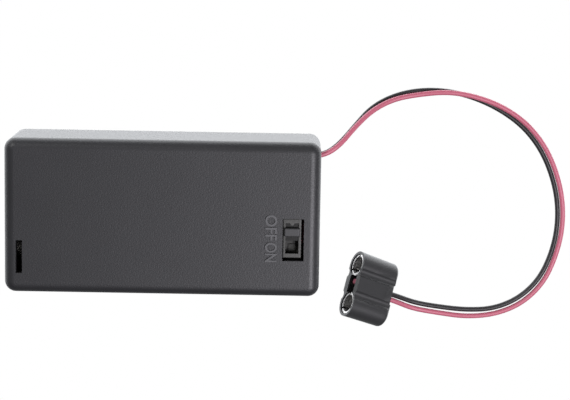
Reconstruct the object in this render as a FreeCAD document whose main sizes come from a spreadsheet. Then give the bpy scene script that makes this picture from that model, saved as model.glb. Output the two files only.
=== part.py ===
"""Two-cell AA battery holder with a slide switch, a sliding cover, two leads and a two-barrel plug.

Millimetres. The holder lies on its cover: X runs along the cells towards the switch end,
Y across them, Z up to the face that carries the switch. The origin is the middle of the underside.
"""

import FreeCAD
import Part
import Sketcher
import math
import os

Vector = FreeCAD.Vector
Rotation = FreeCAD.Rotation
Placement = FreeCAD.Placement

document = FreeCAD.newDocument("battery_holder")

DIMENSIONS = [
    ("cell_diameter", "14.5", "AA cell"),
    ("cell_length", "50.5", "AA cell"),
    ("cell_clearance", "0.3", "free space round a cell"),
    ("contact_room", "6.1", "length kept for the springs and plates of a bay"),
    ("side_wall", "1.5", "long walls of the tray"),
    ("end_wall", "1.6", "short walls of the tray"),
    ("face_wall", "1.5", "face that carries the switch"),
    ("partition", "1.2", "wall between the cells and the switch"),
    ("switch_room", "8.3", "length of the switch compartment"),
    ("centre_rib", "1.0", "rib between the two cells"),
    ("centre_rib_depth", "5.5", "how far that rib stands down from the face"),
    ("cradle_thickness", "1.2", "cross ribs shaped to the cells"),
    ("cradle_depth", "5.0", "how far the cross ribs stand down"),
    ("cradle_pitch", "14.0", "spacing of the cross ribs"),
    ("cradle_count", "3", "cross ribs"),
    ("cradle_fit", "0.2", "play between a cell and its cradle"),
    ("corner_radius", "2.5", "upright corners of the tray"),
    ("face_radius", "2.2", "edge round the face"),
    ("base_radius", "0.7", "edge round the underside"),
    ("cover_plate", "2.3", "thickness of the cover"),
    ("cover_gap", "0.1", "running gap over and beside the cover"),
    ("lip_height", "1.1", "tray lip under the cover's tongue"),
    ("lip_fit", "0.05", "running gap between tongue and lip"),
    ("rail_width", "1.4", "how far the rails stand in from the walls"),
    ("rail_height", "3.5", "top of the rails"),
    ("groove_depth", "1.15", "groove cut in the rails"),
    ("nose_length", "0.7", "cover nose that enters the switch end wall"),
    ("nose_width", "22.0", "width of that nose"),
    ("ridge_count", "5", "thumb grooves in the cover"),
    ("ridge_pitch", "2.2", "spacing of the thumb grooves"),
    ("ridge_width", "1.1", "width of one thumb groove"),
    ("ridge_length", "16.0", "length of one thumb groove"),
    ("ridge_depth", "0.5", "depth of the thumb grooves and the arrow"),
    ("ridge_inset", "6.0", "first thumb groove from the cover's free end"),
    ("arrow_length", "5.0", "arrow that shows which way the cover slides"),
    ("arrow_width", "7.0", "arrow width"),
    ("slot_length", "7.3", "slot in the face near the far end"),
    ("slot_width", "1.4", "slot width"),
    ("slot_inset", "3.35", "slot centre from the far end"),
    ("slot_shift", "0.95", "slot centre outside the cell's axis"),
    ("window_length", "9.35", "switch window"),
    ("window_width", "4.7", "switch window"),
    ("window_inset", "5.85", "window centre from the lead end"),
    ("window_shift", "4.3", "window centre from the holder's middle"),
    ("collar_wall", "1.0", "walls that box the switch in behind its window"),
    ("nib_width", "1.6", "snap nibs under the switch"),
    ("nib_height", "0.6", "snap nibs under the switch"),
    ("nib_reach", "0.35", "how far a nib reaches under the switch"),
    ("window_play", "0.6", "how much the window is longer and wider than the switch frame"),
    ("switch_height", "3.6", "switch frame"),
    ("switch_drop", "0.8", "frame top below the face"),
    ("switch_fit", "0.05", "play between the parts of the switch"),
    ("shell_sheet", "0.3", "sheet of the switch frame"),
    ("slot_end", "0.975", "frame beyond each end of its slot"),
    ("slot_side", "0.6", "frame beside its slot"),
    ("stop_tab", "0.5", "small stop at one end of that slot"),
    ("knob_length", "1.8", "knob, along its travel"),
    ("knob_width", "3.4", "knob, across its travel"),
    ("knob_rise", "0.65", "knob above the frame"),
    ("knob_corner", "0.25", "edge radius of the knob"),
    ("knob_travel", "2.8", "off to on"),
    ("slider_length", "3.9", "slider under the frame"),
    ("slider_height", "0.9", "slider under the frame"),
    ("base_height", "1.0", "insulating base of the switch"),
    ("pin_pitch", "2.5", "switch terminals"),
    ("pin_width", "0.9", "switch terminals"),
    ("pin_sheet", "0.4", "switch terminals"),
    ("pin_length", "3.4", "terminal below the switch"),
    ("pad_length", "1.7", "contact pad of a terminal"),
    ("pad_height", "0.3", "contact pad of a terminal"),
    ("wiper_sheet", "0.2", "sprung contact under the slider"),
    ("wiper_width", "1.6", "sprung contact under the slider"),
    ("contact_sheet", "0.4", "plated contact plates"),
    ("contact_fit", "0.05", "play between plates and walls"),
    ("plate_width", "11.0", "single contact plates"),
    ("plate_height", "11.0", "all contact plates"),
    ("plate_corner", "1.2", "corners of the plates"),
    ("bridge_width", "27.4", "bridge plate"),
    ("dimple_radius", "2.6", "pressed dimple for a cell's button"),
    ("dimple_rise", "1.0", "height of the dimple"),
    ("tab_width", "2.6", "solder tabs"),
    ("tab_length", "3.0", "solder tab in the switch compartment"),
    ("tab_fit", "0.15", "play of a tab in the partition"),
    ("positive_tab_rise", "0.3", "positive tab above the cell's axis"),
    ("negative_tab_drop", "2.5", "negative tab below the cell's axis"),
    ("spring_wire", "0.8", "spring wire"),
    ("spring_base_radius", "4.6", "wide end of a spring"),
    ("spring_tip_radius", "2.8", "narrow end of a spring"),
    ("spring_length", "8.5", "free length of a spring"),
    ("spring_turns", "4", "turns of a spring"),
    ("wire_diameter", "1.15", "insulated lead"),
    ("exit_inset", "3.75", "lead hole from the side of the holder"),
    ("exit_rise", "9.5", "lead hole above the underside"),
    ("exit_pitch", "1.2", "red lead above black lead in the hole"),
    ("exit_clearance", "0.3", "play round the leads in the hole"),
    ("joint_gap", "0.42", "most that solder fills between a lead's end and a terminal"),
    ("solder_radius", "0.85", "solder joints in the holder"),
    ("plug_depth", "9.8", "plug body, front to back"),
    ("plug_thickness", "6.2", "plug body across its lobes"),
    ("lobe_pitch", "9.0", "barrel spacing"),
    ("flute_place", "2.6", "side grooves from the plug's middle"),
    ("flute_radius", "1.1", "side grooves of the plug"),
    ("flute_depth", "0.6", "side grooves of the plug"),
    ("plug_draft", "1.2", "taper of the plug body in degrees"),
    ("plug_back_radius", "0.9", "rounding of the plug's back"),
    ("socket_diameter", "5.0", "split socket, outside"),
    ("socket_wall", "0.5", "split socket wall"),
    ("socket_length", "5.2", "split socket"),
    ("socket_inset", "0.25", "socket mouth behind the plug's front"),
    ("socket_fit", "0.05", "play round a socket in the plug"),
    ("slit_width", "0.5", "slits of a socket"),
    ("slit_length", "3.6", "slits of a socket"),
    ("slit_count", "3", "slits of a socket"),
    ("rivet_head", "3.2", "rivet head diameter"),
    ("rivet_head_height", "0.5", "rivet head"),
    ("rivet_shank", "1.5", "rivet shank diameter"),
    ("rivet_bore", "0.8", "hole in the rivet"),
    ("rivet_length", "2.0", "rivet shank behind the socket"),
    ("pocket_width", "4.0", "middle pocket between the barrels"),
    ("pocket_height", "2.9", "middle pocket"),
    ("pocket_depth", "3.2", "middle pocket"),
    ("tunnel_diameter", "2.6", "lead tunnel through the plug"),
    ("plug_solder_radius", "0.6", "solder joints in the plug"),
    ("plug_front_x", "42.3", "middle of the plug's front as it lies"),
    ("plug_front_y", "-15.95", "middle of the plug's front as it lies"),
    ("plug_yaw", "-22.5", "degrees, as it lies"),
    ("plug_pitch", "22.5", "degrees, front raised on the stiff leads"),
    ("plug_roll", "-20.0", "degrees, as it lies"),
]

LAYOUT = [
    ("bay_half", "=Dims.cell_diameter + Dims.centre_rib / 2 + 2 * Dims.cell_clearance"),
    ("case_half", "=Layout.bay_half + Dims.side_wall"),
    ("bay_length", "=Dims.cell_length + Dims.contact_room"),
    ("case_length", "=2 * Dims.end_wall + Layout.bay_length + Dims.partition + Dims.switch_room"),
    ("end_x", "=Layout.case_length / 2"),
    ("bay_start", "=Dims.end_wall - Layout.end_x"),
    ("bay_end", "=Layout.bay_start + Layout.bay_length"),
    ("switch_start", "=Layout.bay_end + Dims.partition"),
    ("inner_end", "=Layout.end_x - Dims.end_wall"),
    ("groove_top", "=Dims.cover_plate + Dims.cover_gap"),
    ("cell_y", "=Dims.centre_rib / 2 + Dims.cell_clearance + Dims.cell_diameter / 2"),
    ("cell_z", "=Layout.groove_top + Dims.cell_clearance + Dims.cell_diameter / 2"),
    ("inner_top", "=Layout.cell_z + Dims.cell_diameter / 2 + Dims.cell_clearance"),
    ("case_height", "=Layout.inner_top + Dims.face_wall"),
    ("open_half", "=Layout.bay_half - Dims.rail_width"),
    ("groove_half", "=Layout.open_half + Dims.groove_depth"),
    ("window_x", "=Layout.end_x - Dims.window_inset"),
    ("switch_length", "=Dims.window_length - Dims.window_play"),
    ("switch_width", "=Dims.window_width - Dims.window_play"),
    ("knob_slot_length", "=Layout.switch_length - 2 * Dims.slot_end"),
    ("knob_slot_width", "=Layout.switch_width - 2 * Dims.slot_side"),
    ("switch_x", "=Layout.window_x + (Layout.switch_width - Dims.window_width) / 2 + Dims.switch_fit"),
    ("switch_y", "=(Dims.window_length - Layout.switch_length) / 2 - Dims.window_shift - Dims.switch_fit"),
    ("shell_top", "=Layout.case_height - Dims.switch_drop"),
    ("shell_base", "=Layout.shell_top - Dims.switch_height"),
    ("base_top", "=Layout.shell_base + Dims.base_height"),
    ("pad_top", "=Layout.base_top + Dims.pad_height"),
    ("slider_top", "=Layout.shell_top - Dims.shell_sheet - Dims.switch_fit"),
    ("slider_base", "=Layout.slider_top - Dims.slider_height"),
    ("knob_y", "=Layout.switch_y + Dims.knob_travel / 2"),
    ("nib_base", "=Layout.shell_base - Dims.switch_fit - Dims.nib_height"),
    ("plate_start", "=Layout.bay_start + Dims.contact_fit"),
    ("plate_end", "=Layout.bay_end - Dims.contact_fit"),
    ("tab_y", "=Layout.cell_y - Dims.plate_width / 2"),
    ("positive_tab_z", "=Layout.cell_z + Dims.positive_tab_rise"),
    ("negative_tab_z", "=Layout.cell_z - Dims.negative_tab_drop"),
    ("exit_y", "=Layout.case_half - Dims.exit_inset"),
    ("lobe_radius", "=Dims.plug_thickness / 2"),
    ("lobe_y", "=Dims.lobe_pitch / 2"),
    ("socket_radius", "=Dims.socket_diameter / 2"),
    ("barrel_radius", "=Layout.socket_radius + Dims.socket_fit"),
    ("barrel_depth", "=Dims.socket_inset + Dims.socket_length + Dims.socket_fit"),
]


def make_sheet(label, rows):
    """A spreadsheet whose second column holds the values, each under its alias."""
    sheet = document.addObject("Spreadsheet::Sheet", label)
    for number, row in enumerate(rows, start=1):
        sheet.set("A%d" % number, row[0])
        sheet.set("B%d" % number, row[1])
        sheet.setAlias("B%d" % number, row[0])
        if len(row) > 2:
            sheet.set("C%d" % number, row[2])
    return sheet


dims = make_sheet("Dims", DIMENSIONS)
layout = make_sheet("Layout", LAYOUT)
document.recompute()

ORIGIN_POINT = (-1, 1)
TINY = 1e-6


def value(expression):
    """The number that an expression on the two sheets gives."""
    return float(dims.evalExpression(expression))


def new_body(label, placement=None):
    body = document.addObject("PartDesign::Body", label)
    if placement is not None:
        body.Placement = placement
    return body


def new_sketch(body, plane, offset=None):
    """A sketch on one of the body's own origin planes, moved along the plane's normal."""
    sketch = body.newObject("Sketcher::SketchObject", "sketch")
    support = [f for f in body.Origin.OriginFeatures if f.Role == plane][0]
    sketch.AttachmentSupport = (support, [""])
    sketch.MapMode = "FlatFace"
    if offset is not None:
        sketch.setExpression(".AttachmentOffset.Base.z", offset)
    return sketch


def bind(sketch, kind, geometry, point, expression):
    """Hold one coordinate of a point at an expression."""
    constraint = Sketcher.Constraint(kind, *ORIGIN_POINT, geometry, point, value(expression))
    number = sketch.addConstraint(constraint)
    sketch.setExpression("Constraints[%d]" % number, expression)


def bind_point(sketch, geometry, point, place):
    bind(sketch, "DistanceX", geometry, point, place[0])
    bind(sketch, "DistanceY", geometry, point, place[1])


def outline(sketch, places):
    """A closed polygon through places, each a pair of expressions."""
    first = sketch.GeometryCount
    spots = [Vector(value(x), value(y), 0) for x, y in places]
    for start, end in zip(spots, spots[1:] + spots[:1]):
        sketch.addGeometry(Part.LineSegment(start, end), False)
    for number in range(len(places)):
        following = first + (number + 1) % len(places)
        sketch.addConstraint(Sketcher.Constraint("Coincident", first + number, 2, following, 1))
    for number, place in enumerate(places):
        bind_point(sketch, first + number, 1, place)


def rectangle(sketch, left, right, low, high):
    outline(sketch, [(left, low), (right, low), (right, high), (left, high)])


def circle(sketch, x, y, radius):
    place = Vector(value(x), value(y), 0)
    number = sketch.addGeometry(Part.Circle(place, Vector(0, 0, 1), value(radius)), False)
    bind_point(sketch, number, 3, (x, y))
    constraint = sketch.addConstraint(Sketcher.Constraint("Radius", number, value(radius)))
    sketch.setExpression("Constraints[%d]" % constraint, radius)


def upright_oblong(sketch, x, low, high, radius):
    """Two half circles, centred at low and high, joined by straight sides."""
    left = "%s - (%s)" % (x, radius)
    right = "%s + (%s)" % (x, radius)
    first = sketch.GeometryCount
    size = value(radius)
    top, bottom = Vector(value(x), value(high), 0), Vector(value(x), value(low), 0)
    side = Vector(size, 0, 0)
    sketch.addGeometry(Part.LineSegment(bottom + side, top + side), False)
    sketch.addGeometry(Part.ArcOfCircle(Part.Circle(top, Vector(0, 0, 1), size), 0, math.pi), False)
    sketch.addGeometry(Part.LineSegment(top - side, bottom - side), False)
    turned = Part.Circle(bottom, Vector(0, 0, 1), size)
    sketch.addGeometry(Part.ArcOfCircle(turned, math.pi, 2 * math.pi), False)
    joints = [(0, 2, 1, 1), (1, 2, 2, 1), (2, 2, 3, 1), (3, 2, 0, 1)]
    for one, one_end, other, other_end in joints:
        pair = (first + one, one_end, first + other, other_end)
        sketch.addConstraint(Sketcher.Constraint("Coincident", *pair))
    bind_point(sketch, first, 1, (right, low))
    bind_point(sketch, first, 2, (right, high))
    bind_point(sketch, first + 2, 1, (left, high))
    bind_point(sketch, first + 2, 2, (left, low))
    bind(sketch, "DistanceY", first + 1, 3, high)
    bind(sketch, "DistanceY", first + 3, 3, low)


def sideways_oblong(sketch, half_pitch, radius):
    """Two half circles on the sketch's first axis, joined by straight sides."""
    size, reach = value(radius), value(half_pitch)
    normal = Vector(0, 0, 1)
    right = Part.Circle(Vector(reach, 0, 0), normal, size)
    left = Part.Circle(Vector(-reach, 0, 0), normal, size)
    quarter = math.pi / 2
    sketch.addGeometry(Part.ArcOfCircle(right, -quarter, quarter), False)
    sketch.addGeometry(Part.LineSegment(Vector(reach, size, 0), Vector(-reach, size, 0)), False)
    sketch.addGeometry(Part.ArcOfCircle(left, quarter, 3 * quarter), False)
    sketch.addGeometry(Part.LineSegment(Vector(-reach, -size, 0), Vector(reach, -size, 0)), False)
    for one, other in ((0, 1), (1, 2), (2, 3), (3, 0)):
        sketch.addConstraint(Sketcher.Constraint("Coincident", one, 2, other, 1))
    bind_point(sketch, 0, 1, (half_pitch, "-" + radius))
    bind_point(sketch, 0, 2, (half_pitch, radius))
    bind_point(sketch, 2, 1, ("-" + half_pitch, radius))
    bind_point(sketch, 2, 2, ("-" + half_pitch, "-" + radius))
    bind(sketch, "DistanceX", 0, 3, half_pitch)
    bind(sketch, "DistanceX", 2, 3, "-" + half_pitch)


def feature(body, kind, sketch, length, reverse=False):
    """A Pad or Pocket of a sketch that has to change the body's volume."""
    before = body.Shape.Volume if body.Tip else 0.0
    made = body.newObject("PartDesign::%s" % kind, kind.lower())
    made.Profile = sketch
    made.Reversed = reverse
    made.setExpression("Length", length)
    document.recompute()
    change = made.Shape.Volume - before
    if change * (1 if kind == "Pad" else -1) <= TINY:
        raise RuntimeError("%s of %s changes nothing" % (kind, body.Label))
    return made


def pad(body, sketch, length, reverse=False):
    return feature(body, "Pad", sketch, length, reverse)


def pocket(body, sketch, length, reverse=False):
    return feature(body, "Pocket", sketch, length, reverse)


def round_edges(body, radius, wanted):
    """A fillet on the edges that wanted accepts."""
    base = body.Tip
    names = ["Edge%d" % n for n, edge in enumerate(base.Shape.Edges, start=1) if wanted(edge)]
    fillet = body.newObject("PartDesign::Fillet", "fillet")
    fillet.Base = (base, names)
    fillet.setExpression("Radius", radius)
    document.recompute()
    return fillet


def repeat_along(body, made, axis, count, pitch):
    """Copies of a feature in a straight row along one of the body's axes."""
    row = body.newObject("PartDesign::LinearPattern", "row")
    row.Originals = [made]
    row.Direction = ([f for f in body.Origin.OriginFeatures if f.Role == axis][0], [""])
    row.setExpression("Occurrences", count)
    row.setExpression("Length", "(%s) * (%s - 1)" % (pitch, count))
    body.Tip = row
    document.recompute()
    return row


def is_upright(edge):
    box = edge.BoundBox
    return box.XLength < TINY and box.YLength < TINY


def lies_at(edge, height):
    box = edge.BoundBox
    return abs(box.ZMin - height) < TINY and abs(box.ZMax - height) < TINY


def on_rim(edge, half_length, half_width, radius):
    """True where an edge lies on the outer outline of the case."""
    middle = edge.valueAt((edge.FirstParameter + edge.LastParameter) / 2)
    out_x = abs(middle.x) - (half_length - radius)
    out_y = abs(middle.y) - (half_width - radius)
    if out_x > 0 and out_y > 0:
        return abs(math.hypot(out_x, out_y) - radius) < 0.01
    return abs(out_x - radius) < 0.01 or abs(out_y - radius) < 0.01


def cover_section(gap, play):
    """The stepped cross-section that the cover fills and its grooves clear."""
    low_half = "(Layout.open_half - %s)" % gap
    tongue_half = "(Layout.groove_half - %s)" % gap
    step = "(Dims.lip_height + %s)" % play
    return low_half, tongue_half, step


def make_case_tray():
    """One moulding: face, walls, rails for the cover, ribs, and the collar that boxes the switch."""
    body = new_body("case_tray")
    base = new_sketch(body, "XY_Plane")
    rectangle(base, "-Layout.end_x", "Layout.end_x", "-Layout.case_half", "Layout.case_half")
    pad(body, base, "Layout.case_height")
    round_edges(body, "Dims.corner_radius", is_upright)
    top, half_x, half_y = value("Layout.case_height"), value("Layout.end_x"), value("Layout.case_half")
    corner = value("Dims.corner_radius")
    round_edges(body, "Dims.face_radius", lambda edge: lies_at(edge, top))
    round_edges(body, "Dims.base_radius",
                lambda edge: lies_at(edge, 0) and on_rim(edge, half_x, half_y, corner))

    low_half, tongue_half, step = cover_section("0", "0")
    section = [
        ("-" + low_half, "0"),
        (low_half, "0"),
        (low_half, step),
        (tongue_half, step),
        (tongue_half, "Layout.groove_top"),
        (low_half, "Layout.groove_top"),
        (low_half, "Dims.rail_height"),
        ("Layout.bay_half", "Dims.rail_height"),
        ("Layout.bay_half", "Layout.inner_top"),
        ("-Layout.bay_half", "Layout.inner_top"),
        ("-Layout.bay_half", "Dims.rail_height"),
        ("-" + low_half, "Dims.rail_height"),
        ("-" + low_half, "Layout.groove_top"),
        ("-" + tongue_half, "Layout.groove_top"),
        ("-" + tongue_half, step),
        ("-" + low_half, step),
    ]
    hollow = new_sketch(body, "YZ_Plane", "Layout.bay_start")
    outline(hollow, section)
    pocket(body, hollow, "Layout.case_length - 2 * Dims.end_wall", True)

    way_out = new_sketch(body, "YZ_Plane", "-Layout.end_x - Dims.end_wall")
    outline(way_out, section[:5] + [("-" + tongue_half, "Layout.groove_top")] + section[14:])
    pocket(body, way_out, "2.5 * Dims.end_wall", True)

    nose = new_sketch(body, "YZ_Plane", "Layout.inner_end - Dims.cover_gap")
    nose_half = "(Dims.nose_width / 2 + Dims.cover_gap)"
    rectangle(nose, "-" + nose_half, nose_half, "Dims.lip_height", "Layout.groove_top")
    pocket(body, nose, "Dims.nose_length + 2 * Dims.cover_gap", True)

    wall = new_sketch(body, "YZ_Plane", "Layout.bay_end")
    sunk = "(Layout.bay_half + Dims.side_wall / 4)"
    rectangle(wall, "-" + sunk, sunk, "Layout.groove_top + Dims.cover_gap", "Layout.inner_top + Dims.side_wall / 4")
    pad(body, wall, "Dims.partition")

    rib = new_sketch(body, "YZ_Plane", "Layout.bay_start + Dims.spring_length")
    rectangle(rib, "-Dims.centre_rib / 2", "Dims.centre_rib / 2",
              "Layout.inner_top - Dims.centre_rib_depth", "Layout.inner_top + Dims.face_wall / 4")
    pad(body, rib, "Layout.bay_length - 2 * Dims.spring_length")

    span = "Dims.cradle_pitch * (Dims.cradle_count - 1)"
    first = "(Layout.bay_start + Layout.bay_end - %s - Dims.cradle_thickness) / 2" % span
    cradle = new_sketch(body, "YZ_Plane", first)
    rectangle(cradle, "-" + sunk, sunk, "Layout.inner_top - Dims.cradle_depth", "Layout.inner_top + Dims.face_wall / 4")
    comb = pad(body, cradle, "Dims.cradle_thickness")
    repeat_along(body, comb, "X_Axis", "Dims.cradle_count", "Dims.cradle_pitch")
    channels = new_sketch(body, "YZ_Plane", "Layout.bay_start")
    for side in ("", "-"):
        circle(channels, side + "Layout.cell_y", "Layout.cell_z", "Dims.cell_diameter / 2 + Dims.cradle_fit")
    pocket(body, channels, "Layout.bay_length", True)

    collar = new_sketch(body, "XY_Plane", "Layout.nib_base")
    reach_x = "(Dims.window_width / 2 + Dims.collar_wall)"
    reach_y = "(Dims.window_length / 2 + Dims.collar_wall)"
    rectangle(collar, "Layout.window_x - " + reach_x, "Layout.window_x + " + reach_x,
              "-Dims.window_shift - " + reach_y, "-Dims.window_shift + " + reach_y)
    pad(body, collar, "Layout.inner_top - Layout.nib_base + Dims.face_wall / 4")
    window = new_sketch(body, "XY_Plane", "Layout.nib_base - Dims.face_wall")
    rectangle(window, "Layout.window_x - Dims.window_width / 2", "Layout.window_x + Dims.window_width / 2",
              "-Dims.window_shift - Dims.window_length / 2", "-Dims.window_shift + Dims.window_length / 2")
    pocket(body, window, "Layout.case_height - Layout.nib_base + 2 * Dims.face_wall", True)
    for end, edge in (("", "+"), ("-", "-")):
        nib = new_sketch(body, "XY_Plane", "Layout.nib_base")
        outer = "-Dims.window_shift %s (Dims.window_length / 2 + Dims.collar_wall / 2)" % edge
        inner = "Layout.switch_y %s (Layout.switch_length / 2 - Dims.nib_reach)" % edge
        low, high = (inner, outer) if end == "" else (outer, inner)
        rectangle(nib, "Layout.switch_x - Dims.nib_width / 2", "Layout.switch_x + Dims.nib_width / 2", low, high)
        pad(body, nib, "Dims.nib_height")

    slot = new_sketch(body, "XY_Plane", "Layout.inner_top - Dims.face_wall / 4")
    slot_y = "-(Layout.cell_y + Dims.slot_shift)"
    rectangle(slot, "Dims.slot_inset - Layout.end_x - Dims.slot_width / 2",
              "Dims.slot_inset - Layout.end_x + Dims.slot_width / 2",
              slot_y + " - Dims.slot_length / 2", slot_y + " + Dims.slot_length / 2")
    pocket(body, slot, "2 * Dims.face_wall", True)

    hole = new_sketch(body, "YZ_Plane", "Layout.inner_end - Dims.end_wall / 2")
    upright_oblong(hole, "Layout.exit_y", "Dims.exit_rise - Dims.exit_pitch / 2",
                   "Dims.exit_rise + Dims.exit_pitch / 2", "Dims.wire_diameter / 2 + Dims.exit_clearance")
    pocket(body, hole, "2 * Dims.end_wall", True)

    for side, height in (("", "Layout.positive_tab_z"), ("-", "Layout.negative_tab_z")):
        pass_through = new_sketch(body, "YZ_Plane", "Layout.bay_end - Dims.partition / 2")
        inner = "(Layout.tab_y - Dims.tab_fit)"
        outer = "(Layout.tab_y + Dims.contact_sheet + Dims.tab_fit)"
        left, right = (inner, outer) if side == "" else ("-" + outer, "-" + inner)
        rise = "(Dims.tab_width / 2 + Dims.tab_fit)"
        rectangle(pass_through, left, right, height + " - " + rise, height + " + " + rise)
        pocket(body, pass_through, "2 * Dims.partition", True)
    return body


def make_battery_cover():
    """The plate that slides out towards the far end, on tongues along both sides."""
    body = new_body("battery_cover")
    low_half, tongue_half, step = cover_section("Dims.cover_gap", "Dims.lip_fit")
    section = new_sketch(body, "YZ_Plane", "-Layout.end_x")
    outline(section, [
        ("-" + low_half, "0"),
        (low_half, "0"),
        (low_half, step),
        (tongue_half, step),
        (tongue_half, "Dims.cover_plate"),
        ("-" + tongue_half, "Dims.cover_plate"),
        ("-" + tongue_half, step),
        ("-" + low_half, step),
    ])
    pad(body, section, "Layout.case_length - Dims.end_wall - Dims.cover_gap")
    nose = new_sketch(body, "YZ_Plane", "Layout.inner_end - 2 * Dims.cover_gap")
    rectangle(nose, "-Dims.nose_width / 2", "Dims.nose_width / 2", step, "Dims.cover_plate")
    pad(body, nose, "Dims.nose_length + Dims.cover_gap")
    far_end = -value("Layout.end_x")
    corners = value("Layout.groove_half - Dims.cover_gap")
    round_edges(body, "Dims.corner_radius / 2",
                lambda edge: is_upright(edge) and abs(edge.BoundBox.XMin - far_end) < TINY
                and abs(edge.BoundBox.YMin) > corners - TINY)
    groove = new_sketch(body, "XY_Plane")
    start = "(Dims.ridge_inset - Layout.end_x)"
    rectangle(groove, start, start + " + Dims.ridge_width", "-Dims.ridge_length / 2", "Dims.ridge_length / 2")
    cut = pocket(body, groove, "Dims.ridge_depth", True)
    repeat_along(body, cut, "X_Axis", "Dims.ridge_count", "Dims.ridge_pitch")
    arrow = new_sketch(body, "XY_Plane")
    tip = "(%s + Dims.ridge_count * Dims.ridge_pitch + Dims.ridge_width)" % start
    outline(arrow, [
        (tip, "0"),
        (tip + " + Dims.arrow_length", "-Dims.arrow_width / 2"),
        (tip + " + Dims.arrow_length", "Dims.arrow_width / 2"),
    ])
    pocket(body, arrow, "Dims.ridge_depth", True)
    return body


def make_plate(label, start, middle, width, dimple, outward, tab=None):
    """A plated contact plate across the end of a bay, with a pressed dimple and a bent solder tab."""
    body = new_body(label)
    blank = new_sketch(body, "YZ_Plane", start)
    rectangle(blank, "%s - %s / 2" % (middle, width), "%s + %s / 2" % (middle, width),
              "Layout.cell_z - Dims.plate_height / 2", "Layout.cell_z + Dims.plate_height / 2")
    pad(body, blank, "Dims.contact_sheet")
    round_edges(body, "Dims.plate_corner",
                lambda edge: edge.BoundBox.YLength < TINY and edge.BoundBox.ZLength < TINY)
    if dimple is not None:
        surface = start + (" + Dims.contact_sheet" if outward else "")
        button = new_sketch(body, "YZ_Plane", surface)
        circle(button, dimple, "Layout.cell_z", "Dims.dimple_radius")
        pad(body, button, "Dims.dimple_rise", not outward)
    if tab is not None:
        side, height = tab
        strip = new_sketch(body, "YZ_Plane", start)
        inner, outer = "Layout.tab_y", "(Layout.tab_y + Dims.contact_sheet)"
        left, right = (inner, outer) if side > 0 else ("-" + outer, "-" + inner)
        rectangle(strip, left, right, height + " - Dims.tab_width / 2", height + " + Dims.tab_width / 2")
        pad(body, strip, "Dims.contact_sheet + Dims.contact_fit + Dims.partition + Dims.tab_length")
    return body


WIRE_SIDES = 8


def wire_ring(start, run, radius):
    """The eight-sided section of a wire, square to the run that starts it."""
    across = run.cross(Vector(0, 0, 1))
    if across.Length < 0.1:
        across = run.cross(Vector(0, 1, 0))
    across.normalize()
    over = run.cross(across).normalize()
    corners = []
    for corner in range(WIRE_SIDES + 1):
        turn = 2 * math.pi * (corner % WIRE_SIDES) / WIRE_SIDES
        corners.append(start + across * (radius * math.cos(turn)) + over * (radius * math.sin(turn)))
    return Part.makePolygon(corners)


def ring_area(radius):
    return WIRE_SIDES / 2 * math.sin(2 * math.pi / WIRE_SIDES) * radius ** 2


def add_shape(label, shape, placement=None):
    piece = document.addObject("Part::Feature", label)
    piece.Shape = shape
    if placement is not None:
        piece.Placement = placement
    return piece


SPRING_RUNS_PER_TURN = 12


def make_spring(label, foot, towards):
    """A conical spring of mitred straight runs, eight-sided in section to keep its facets few."""
    turns = int(value("Dims.spring_turns"))
    wire = value("Dims.spring_wire")
    wide, narrow = value("Dims.spring_base_radius"), value("Dims.spring_tip_radius")
    rise = value("Dims.spring_length") - wire
    runs = turns * SPRING_RUNS_PER_TURN
    path = []
    for step in range(runs + 1):
        share = step / runs
        angle = 2 * math.pi * step / SPRING_RUNS_PER_TURN
        radius = wide + (narrow - wide) * share
        along = wire / 2 + rise * share
        path.append(Vector(along, radius * math.cos(angle), radius * math.sin(angle)))
    ring = wire_ring(path[0], (path[1] - path[0]).normalize(), wire / 2)
    sweep = Part.BRepOffsetAPI.MakePipeShell(Part.makePolygon(path))
    sweep.setTransitionMode(1)
    sweep.add(ring, False, True)
    sweep.build()
    sweep.makeSolid()
    turned = Rotation() if towards > 0 else Rotation(Vector(0, 0, 1), 180)
    return add_shape(label, sweep.shape(), Placement(foot, turned))


def make_switch_shell():
    """The folded frame: closed above but for the knob's slot, open below."""
    body = new_body("switch_shell")
    half_x, half_y = "Layout.switch_width / 2", "Layout.switch_length / 2"
    outside = new_sketch(body, "XY_Plane", "Layout.shell_base")
    rectangle(outside, "Layout.switch_x - " + half_x, "Layout.switch_x + " + half_x,
              "Layout.switch_y - " + half_y, "Layout.switch_y + " + half_y)
    pad(body, outside, "Dims.switch_height")
    inside = new_sketch(body, "XY_Plane", "Layout.shell_base")
    rectangle(inside, "Layout.switch_x - %s + Dims.shell_sheet" % half_x,
              "Layout.switch_x + %s - Dims.shell_sheet" % half_x,
              "Layout.switch_y - %s + Dims.shell_sheet" % half_y,
              "Layout.switch_y + %s - Dims.shell_sheet" % half_y)
    pocket(body, inside, "Dims.switch_height - Dims.shell_sheet", True)
    slot = new_sketch(body, "XY_Plane", "Layout.shell_top")
    left, right = "Layout.switch_x - Layout.knob_slot_width / 2", "Layout.switch_x + Layout.knob_slot_width / 2"
    low, high = "Layout.switch_y - Layout.knob_slot_length / 2", "Layout.switch_y + Layout.knob_slot_length / 2"
    stop = high + " - Dims.stop_tab"
    outline(slot, [
        (left, low),
        (right, low),
        (right, high),
        ("Layout.switch_x + Dims.stop_tab", high),
        ("Layout.switch_x + Dims.stop_tab / 2", stop),
        ("Layout.switch_x - Dims.stop_tab / 2", stop),
        ("Layout.switch_x - Dims.stop_tab", high),
        (left, high),
    ])
    pocket(body, slot, "2 * Dims.shell_sheet")
    tall = value("Layout.shell_top")
    outer = value("Layout.switch_x") - value(half_x)
    round_edges(body, "Dims.shell_sheet * 0.8", lambda edge: lies_at(edge, tall)
                and (abs(edge.BoundBox.XMin - outer) < TINY
                     or edge.BoundBox.XLength > value("Layout.switch_width") - 0.01
                     or edge.BoundBox.YLength > value("Layout.switch_length") - 0.01))
    return body


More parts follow.
